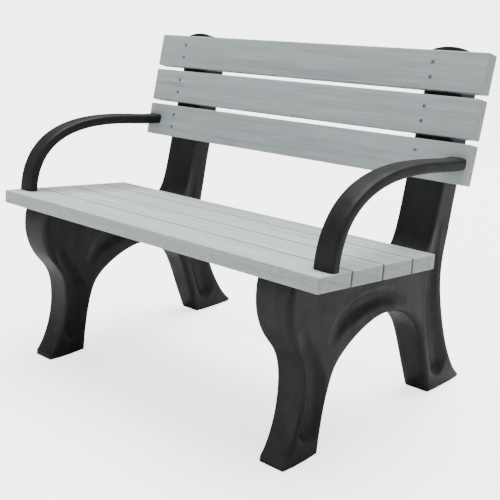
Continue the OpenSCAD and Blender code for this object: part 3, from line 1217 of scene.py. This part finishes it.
@dataclass
class EndFrame:
    """One moulded end frame: two legs under an arch, and an upright."""

    node: str
    plan: Plan
    half_width: float = 0.058
    half_foot: float = 0.041
    arch_height: float = 0.298
    waist_height: float = 0.205
    waist_setback: float = 0.072
    heel_height: float = 0.008
    toe_start: float = 0.005
    blend_rise: float = 0.160
    corner_rise: float = 0.140
    corner_reach: float = 0.064
    top_rise: float = 0.018
    crown: float = 0.010
    crown_reach: float = 0.075
    soft_round: float = 0.015
    tight_round: float = 0.005
    top_round: float = 0.008
    flare_round: float = 0.010
    sole_round: float = 0.004
    round_reach: float = 0.045
    hollow_rim: float = 0.002
    hollow_inside: float = 0.016
    hollow_share: float = 0.3
    on_line: float = 5e-4
    sole_height: float = 0.004
    smoothing: float = 0.25
    voxel: float = 0.0042
    steps: int = 24
    scoops: tuple[Scoop, ...] = (FRONT_LEG_SCOOP, ARCH_SCOOP, REAR_LEG_SCOOP)

    def outline(self) -> tuple[np.ndarray, np.ndarray]:
        """Draw the side outline, from the front foot's back, over the arch and round to the front foot again.

        Each chain lists points on the outline, with two handles between each pair.

        Returns:
            The outline's points and the edge radius at each.
        """
        p, n = self.plan, self.steps
        foot, toe, heel = p.front_foot, p.rear_toe, p.rear_heel
        waist, arch, setback = self.waist_height, self.arch_height, self.waist_setback
        centre = (foot + toe) / 2
        blend_z = p.rest_z(p.rear_root) + self.blend_rise
        back = p.upright_back(blend_z)
        corner_z = p.rest_z(p.rear_root) + self.corner_rise
        upright_foot = spot(p.upright_front(corner_z), corner_z)
        corner_y = p.rear_root - self.corner_reach
        corner = spot(corner_y, p.rest_z(corner_y))
        top_front = p.back_edge + (p.back_height + self.top_rise) * p.back_up + p.plank_thickness * p.back_rear
        top_back = top_front + p.upright_depth * p.back_rear
        rest = spot(p.frame_setback, p.rest_z(p.frame_setback))
        under_arch = chain((
            spot(foot, 0), spot(foot + 0.014, 0.075), spot(foot + 0.021, waist - 0.055),
            spot(foot + 0.049, waist), spot(foot + 0.074, waist + 0.045), spot(centre - 0.068, arch),
            spot(centre, arch), spot(centre + 0.072, arch), spot(toe - 0.110, arch - 0.036),
            spot(toe - 0.080, arch - 0.080), spot(toe - 0.050, arch - 0.128), spot(toe - 0.036, 0.075),
            spot(toe, 0)), n)
        behind = chain((
            spot(heel, self.heel_height), spot(heel - 0.045, 0.050), spot(heel - 0.085, 0.125),
            spot(heel - 0.112, waist), spot(heel - 0.135, waist + 0.070), spot(back - 0.050, blend_z - 0.230),
            spot(back - 0.036, blend_z - 0.155), spot(back - 0.026, blend_z - 0.105),
            spot(p.upright_back(blend_z - 0.050), blend_z - 0.050), spot(back, blend_z)), n)
        flare = chain((
            upright_foot, spot(p.upright_front(corner_z - 0.092), corner_z - 0.092),
            spot(p.rear_root - 0.004, p.rest_z(p.rear_root - 0.004)), corner), n)
        in_front = chain((
            rest, rest + spot(-0.018, -0.032), rest + spot(-0.022, -0.090), rest + spot(0.006, -0.140),
            rest + spot(0.029, -0.180), spot(setback, waist + 0.065), spot(setback, waist),
            spot(setback, waist - 0.075), spot(setback - 0.027, 0.060), spot(0, self.heel_height)), n)
        stretches = (
            (under_arch, self.soft_round),
            (straight(spot(toe, 0), spot(heel, 0), n), self.sole_round),
            (behind + straight(spot(back, blend_z), top_back, n), self.soft_round),
            (straight(top_back, top_front, n), self.top_round),
            (straight(top_front, upright_foot, n) + flare, self.flare_round),
            (straight(corner, rest, n), self.tight_round),
            (in_front, self.soft_round),
            (straight(spot(self.toe_start, 0), spot(foot, 0), n), self.sole_round),
        )
        points = np.array([tuple(point) for line, _ in stretches for point in line])
        radii = np.array([radius for line, radius in stretches for _ in line])
        return points, self.blended(points, radii)

    def blended(self, points: np.ndarray, radii: np.ndarray) -> np.ndarray:
        """Average the radii along the outline, so that they run into each other.

        Args:
            points: The outline.
            radii: The radius at each outline point.

        Returns:
            The averaged radii.
        """
        steps = np.linalg.norm(np.roll(points, -1, axis=0) - points, axis=1)
        along = np.concatenate([[0], np.cumsum(steps)[:-1]])
        mixed = np.empty(len(radii))
        for i, here in enumerate(along):
            gap = np.abs(along - here)
            near = np.minimum(gap, steps.sum() - gap) < self.round_reach
            mixed[i] = (radii[near] * steps[near]).sum() / steps[near].sum()
        return mixed

    def solid(self, points: np.ndarray) -> Piece:
        """Give the outline its full width.

        Args:
            points: The outline.

        Returns:
            The block, in fine even faces.
        """
        shape = bmesh.new()
        shape.faces.new([shape.verts.new((-self.half_width, y, z)) for y, z in points])
        extrude(shape, Vector((2 * self.half_width, 0, 0)))
        bmesh.ops.triangulate(shape, faces=[face for face in shape.faces if len(face.verts) > 4])
        bmesh.ops.recalc_face_normals(shape, faces=shape.faces)
        piece = make_object(self.node + "_casting", shape)
        remesh = piece.modifiers.new("even", "REMESH")
        remesh.mode = "VOXEL"
        remesh.voxel_size = self.voxel
        apply_modifiers(piece)
        return piece

    def nearest(self, at: np.ndarray, points: np.ndarray, radii: np.ndarray) -> tuple[np.ndarray, ...]:
        """Measure points against the outline.

        Args:
            at: The (y, z) points to measure.
            points: The outline.
            radii: The edge radius at each outline point.

        Returns:
            The depth inside the outline, the nearest outline point, the inward direction and the radius there.
        """
        best = np.full(len(at), FAR)
        foot, inward = np.zeros_like(at), np.zeros_like(at)
        radius = np.zeros(len(at))
        inside = np.zeros(len(at), bool)
        for a, b, ra, rb in zip(points, np.roll(points, -1, axis=0), radii, np.roll(radii, -1)):
            span = b - a
            if span @ span < TINY ** 2:
                continue
            t = np.clip((at - a) @ span / (span @ span), 0, 1)
            near = a + t[:, None] * span
            gap = ((at - near) ** 2).sum(1)
            closer = gap < best
            best[closer] = gap[closer]
            foot[closer] = near[closer]
            inward[closer] = np.array([-span[1], span[0]]) / np.linalg.norm(span)
            radius[closer] = (ra + t * (rb - ra))[closer]
            if a[1] != b[1]:
                level = (a[1] > at[:, 1]) != (b[1] > at[:, 1])
                inside ^= level & (at[:, 0] < a[0] + (at[:, 1] - a[1]) * span[0] / span[1])
        depth = np.sqrt(best) * np.where(inside, 1, -1)
        away = np.abs(depth) > self.on_line
        inward[away] = (at - foot)[away] / depth[away, None]
        return depth, foot, inward, radius

    def half_width_at(self, z: np.ndarray) -> np.ndarray:
        """Return half the frame's width at each height: it narrows towards the ground."""
        rest = self.plan.rest_z(self.plan.frame_setback)
        return self.half_foot + (self.half_width - self.half_foot) * np.clip(z / rest, 0, 1)

    def shaped(self, co: np.ndarray, points: np.ndarray, radii: np.ndarray) -> np.ndarray:
        """Draft the block's sides, round its edges, hollow it and crown its top.

        Args:
            co: The block's points.
            points: The outline.
            radii: The edge radius at each outline point.

        Returns:
            The casting's points.
        """
        depth, foot, inward, radius = self.nearest(co[:, 1:], points, radii)
        width = self.half_width_at(co[:, 2])
        side = np.where(co[:, 0] < 0, -1.0, 1.0)
        gap = np.maximum(width * (1 - np.abs(co[:, 0]) / self.half_width), 0)
        depth = np.maximum(depth, 0)
        on_wall = depth < gap
        lift_d, lift_e = radius - depth, radius - gap
        corner = (lift_d > 0) & (lift_e > 0)
        reach = radius / np.maximum(np.hypot(lift_d, lift_e), TINY ** 2)
        new_depth = np.where(corner, radius - lift_d * reach, np.where(on_wall, 0, depth))
        new_gap = np.where(corner, radius - lift_e * reach, np.where(on_wall, gap, 0))
        flat = foot + inward * new_depth[:, None]
        hollow = sum(scoop.depth_at(flat) for scoop in self.scoops)
        hollow *= eased(self.hollow_rim, self.hollow_inside, new_depth)
        hollow *= 1 - eased(self.hollow_share, 1.0, new_gap / radius)
        x = side * (width - new_gap - hollow)
        return np.column_stack([x, self.crowned(x, flat)])

    def crowned(self, x: np.ndarray, flat: np.ndarray) -> np.ndarray:
        """Lower the top towards the sides.

        Args:
            x: Distance of each point from the frame's middle.
            flat: The points as (y, z).

        Returns:
            The lowered (y, z) points.
        """
        up, edge = np.array(self.plan.back_up), np.array(self.plan.back_edge)
        below = self.plan.back_height + self.top_rise - (flat - edge) @ up
        drop = self.crown * (x / self.half_width) ** 2 * (1 - eased(0.0, self.crown_reach, below))
        return flat - drop[:, None] * up

    def build(self, material: bpy.types.Material) -> None:
        """Make and dress the frame.

        Args:
            material: Its material.
        """
        points, radii = self.outline()
        piece = self.solid(points)
        co = np.zeros(len(piece.data.vertices) * 3)
        piece.data.vertices.foreach_get("co", co)
        placed = self.shaped(co.reshape(-1, 3), points, radii)
        placed += np.array([middle(self.node).x, self.plan.shift, 0.0])
        piece.data.vertices.foreach_set("co", placed.ravel())
        shape = bmesh.new()
        shape.from_mesh(piece.data)
        above = [vert for vert in shape.verts if vert.co.z > self.sole_height]
        bmesh.ops.smooth_vert(shape, verts=above, factor=self.smoothing, use_axis_x=True, use_axis_y=False,
                              use_axis_z=False)
        bmesh.ops.recalc_face_normals(shape, faces=shape.faces)
        shape.to_mesh(piece.data)
        shape.free()
        for face in piece.data.polygons:
            face.use_smooth = True
        finish_piece(piece, material, [self.node])


# ---------- Armrests ----------
@dataclass
class Armrest:
    """One flat-oval armrest from the front seat plank to the lowest back plank."""

    node: str
    plan: Plan
    thickness: float = 0.030
    foot_setback: float = 0.062
    foot_handle: tuple[float, float] = (0.032, 0.268)
    end_handle: tuple[float, float] = (-0.096, -0.004)
    end_round: float = 0.004
    end_segments: int = 3
    fullness: float = 0.45
    rings: int = 72
    around: int = 56

    def path(self) -> list[Vector]:
        """Draw the centre line.

        Returns:
            Its points as (y, z), both ends included.
        """
        p = self.plan
        foot = spot(0, p.seat_height) + self.foot_setback * p.seat_rear
        end = p.back_edge + p.back_plank_width / 2 * p.back_up
        handles = foot + spot(*self.foot_handle), end + spot(*self.end_handle)
        return bezier(foot, *handles, end, self.rings) + [end]

    def bulged(self, share: float) -> float:
        """Return a sine or cosine pushed outwards, which turns a circle into a fuller oval."""
        return math.copysign(abs(share) ** self.fullness, share)

    def crosses(self, line: list[Vector]) -> list[Vector]:
        """Find the direction through the armrest's thickness at each ring.

        Args:
            line: The centre line.

        Returns:
            A direction in the side view for each point; the two ends lie flat on their planks.
        """
        middles = []
        for before, after in zip(line, line[2:]):
            along = (after - before).normalized()
            middles.append(spot(-along.y, along.x))
        return [-self.plan.seat_rear / self.plan.seat_rear.x, *middles, self.plan.back_up / self.plan.back_up.y]

    def build(self, material: bpy.types.Material) -> None:
        """Make and dress the armrest.

        Args:
            material: Its material.
        """
        low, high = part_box(self.node)
        half, centre_x = (high.x - low.x) / 2, (low.x + high.x) / 2
        line = self.path()
        shift = self.plan.shift
        shape = bmesh.new()
        loops = []
        for centre, cross in zip(line, self.crosses(line)):
            ring = bmesh.ops.create_circle(shape, segments=self.around, radius=1.0)["verts"]
            for vert in ring:
                angle = math.atan2(vert.co.y, vert.co.x)
                point = centre + self.thickness / 2 * self.bulged(math.sin(angle)) * cross
                vert.co = (centre_x + half * self.bulged(math.cos(angle)), shift + point.x, point.y)
            loops.append(ring)
        for pair in zip(loops, loops[1:]):
            edges = {edge for ring in pair for vert in ring for edge in vert.link_edges
                     if edge.other_vert(vert) in set(ring)}
            bmesh.ops.bridge_loops(shape, edges=list(edges))
        for ring in (loops[0], loops[-1]):
            shape.faces.new(ring)
        rims = [edge for edge in shape.edges if len(edge.link_faces) == 2
                and max(len(face.verts) for face in edge.link_faces) > 4]
        round_edges(shape, rims, self.end_round, self.end_segments, clamp=True)
        bmesh.ops.recalc_face_normals(shape, faces=shape.faces)
        finish_piece(make_object(self.node + "_casting", shape), material, [self.node])


# ---------- Studio ----------
@dataclass(frozen=True)
class Lamp:
    """A soft light that looks along a direction."""

    name: str
    power: float
    place: tuple[float, float, float]
    ahead: tuple[float, float, float]

    def build(self, kind: str, **settings: float) -> None:
        """Add the light to the scene.

        Args:
            kind: Blender's type of light.
            settings: The light's size or angle.
        """
        data = bpy.data.lights.new(self.name, kind)
        data.energy = self.power
        for key, value in settings.items():
            setattr(data, key, value)
        lamp = bpy.data.objects.new(self.name, data)
        bpy.context.scene.collection.objects.link(lamp)
        lamp.location = self.place
        lamp.rotation_euler = Vector(self.ahead).to_track_quat("-Z", "Y").to_euler()


@dataclass
class Studio:
    """A pale floor, soft lights and the camera."""

    floor_size: float = 60.0
    floor_low: Colour = grey(0.94, 0.94, 0.94)
    floor_high: Colour = grey(0.96, 0.96, 0.96)
    floor_roughness: float = 0.9
    floor_glow: float = 2.3
    bounce: float = 0.62
    sky: float = 0.36
    backdrop: float = 4.6
    sun: Lamp = Lamp("overhead", 7.7, (0.0, 0.0, 0.0), (0.03, -0.28, -1.0))
    sun_angle: float = math.radians(50)
    boxes: tuple[tuple[Lamp, float], ...] = (
        (Lamp("front_box", 32.0, (-0.6, -3.3, 0.6), (0.6, 3.3, -0.2)), 1.6),
        (Lamp("side_box", 1.0, (3.4, 0.6, 1.7), (-3.2, -0.6, -1.2)), 1.2),
        (Lamp("rear_box", 20.0, (-0.6, 3.4, 2.2), (0.6, -3.4, -1.7)), 1.6))
    camera_place: tuple[float, float, float] = (1.7501, -1.7773, 1.0873)
    azimuth: float = math.radians(43.9)
    elevation: float = math.radians(16.3)
    roll: float = math.radians(0.1)
    lens: float = 64.93
    sensor: float = 36.0
    view_range: float = 100.0

    def build(self) -> None:
        """Make the floor, the world, the lights and the camera."""
        self.lay_floor()
        self.light_world()
        self.sun.build("SUN", angle=self.sun_angle)
        for lamp, size in self.boxes:
            lamp.build("AREA", size=size)
        self.aim_camera()

    def lay_floor(self) -> None:
        """Add the floor, which looks brighter to the camera than the light it throws back on the bench."""
        shape = bmesh.new()
        bmesh.ops.create_grid(shape, x_segments=1, y_segments=1, size=self.floor_size / 2)
        floor = make_object("floor", shape, smooth=False)
        material, w = start_material("pale_floor")
        tone = w.remap(w.noise(w.here(), scale=0.8, detail=2.0), 0.3, 0.7)
        seen = w.add("ShaderNodeLightPath").outputs["Is Camera Ray"]
        pale = w.mix(tone, self.floor_low, self.floor_high)
        colour = w.mix(seen, grey(self.bounce, self.bounce, self.bounce), pale)
        shader = w.add("ShaderNodeBsdfPrincipled", None, Base_Color=colour, Roughness=self.floor_roughness,
                       Emission_Color=WHITE, Emission_Strength=w.math("MULTIPLY", seen, self.floor_glow))
        w.add("ShaderNodeOutputMaterial", None, Surface=shader.outputs["BSDF"])
        floor.data.materials.append(material)

    def light_world(self) -> None:
        """Add the sky, dim as a light and bright as a backdrop."""
        world = bpy.data.worlds.new("studio")
        bpy.context.scene.world = world
        world.use_nodes = True
        w = Wiring(world.node_tree)
        seen = w.add("ShaderNodeLightPath").outputs["Is Camera Ray"]
        strength = w.remap(seen, 0.0, 1.0, self.sky, self.backdrop)
        shader = w.add("ShaderNodeBackground", None, Color=WHITE, Strength=strength)
        w.add("ShaderNodeOutputWorld", None, Surface=shader.outputs["Background"])

    def aim_camera(self) -> None:
        """Add the camera."""
        data = bpy.data.cameras.new("camera")
        data.lens = self.lens
        data.sensor_width = self.sensor
        data.clip_end = self.view_range
        camera = bpy.data.objects.new("camera", data)
        bpy.context.scene.collection.objects.link(camera)
        camera.location = self.camera_place
        level = math.cos(self.elevation)
        ahead = Vector((-math.sin(self.azimuth) * level, math.cos(self.azimuth) * level,
                        -math.sin(self.elevation)))
        camera.rotation_mode = "QUATERNION"
        turn = ahead.to_track_quat("-Z", "Y")
        camera.rotation_quaternion = turn @ Matrix.Rotation(self.roll, 3, "Z").to_quaternion()
        bpy.context.scene.camera = camera


# ---------- The bench ----------
CASTING = MouldedFinish("charcoal_casting", deep=grey(0.0095, 0.0098, 0.0097),
                        pale=grey(0.0210, 0.0215, 0.0213), chip=grey(0.050, 0.050, 0.048),
                        rubbed_and_highlight=grey(0.060, 0.060, 0.060))
ARM = MouldedFinish("charcoal_armrest", deep=grey(0.0105, 0.0109, 0.0110),
                    pale=grey(0.0180, 0.0185, 0.0186), chip=grey(0.045, 0.045, 0.045),
                    rubbed_and_highlight=grey(0.055, 0.055, 0.055), rough_low=0.40, rough_high=0.56, dust_amount=0.03,
                    shine=0.12)
BLUED = SteelFinish("blued_screw_steel", grey(0.30, 0.33, 0.37), grey(0.17, 0.19, 0.22), metallic=0.60)
COATED = SteelFinish("grey_coated_screw", grey(0.46, 0.50, 0.505), grey(0.38, 0.42, 0.425), metallic=0.0)
ZINC = SteelFinish("zinc_bolt_steel", grey(0.58, 0.59, 0.60), grey(0.36, 0.37, 0.38), metallic=1.0,
                   rough_low=0.28, rough_high=0.48)


def main() -> None:
    """Build the bench and its studio."""
    logging.basicConfig(level=logging.INFO, format="%(message)s")
    plan = Plan()
    effects = Effects()
    finishes = (PlankFinish(), CASTING, ARM, BLUED, COATED, ZINC)
    plank, casting, arm, blued, coated, zinc = (finish.build(effects) for finish in finishes)
    for place, joints in (("front", (1,)), ("second", (-1, 1)), ("third", (-1, 1)), ("rear", (-1,))):
        row = PlankRow("seat_plank_" + place, "seat_screws_" + place, Tilt.SEAT, plan, "screw_coated", joints)
        row.build(plank, coated)
    for place in ("lower", "middle", "upper"):
        row = PlankRow("back_plank_" + place, "back_screws_" + place, Tilt.BACK, plan, "screw_steel")
        row.build(plank, blued)
    for side in ("left", "right"):
        EndFrame("end_frame_" + side, plan).build(casting)
        Armrest("armrest_" + side, plan).build(arm)
    ArmFixings("arm_base_bolts", "arm_base_washers", Tilt.SEAT, plan).build(zinc)
    ArmFixings("arm_rear_bolts", "arm_rear_washers", Tilt.BACK, plan).build(zinc)
    Studio().build()


if __name__ == "__main__":
    main()
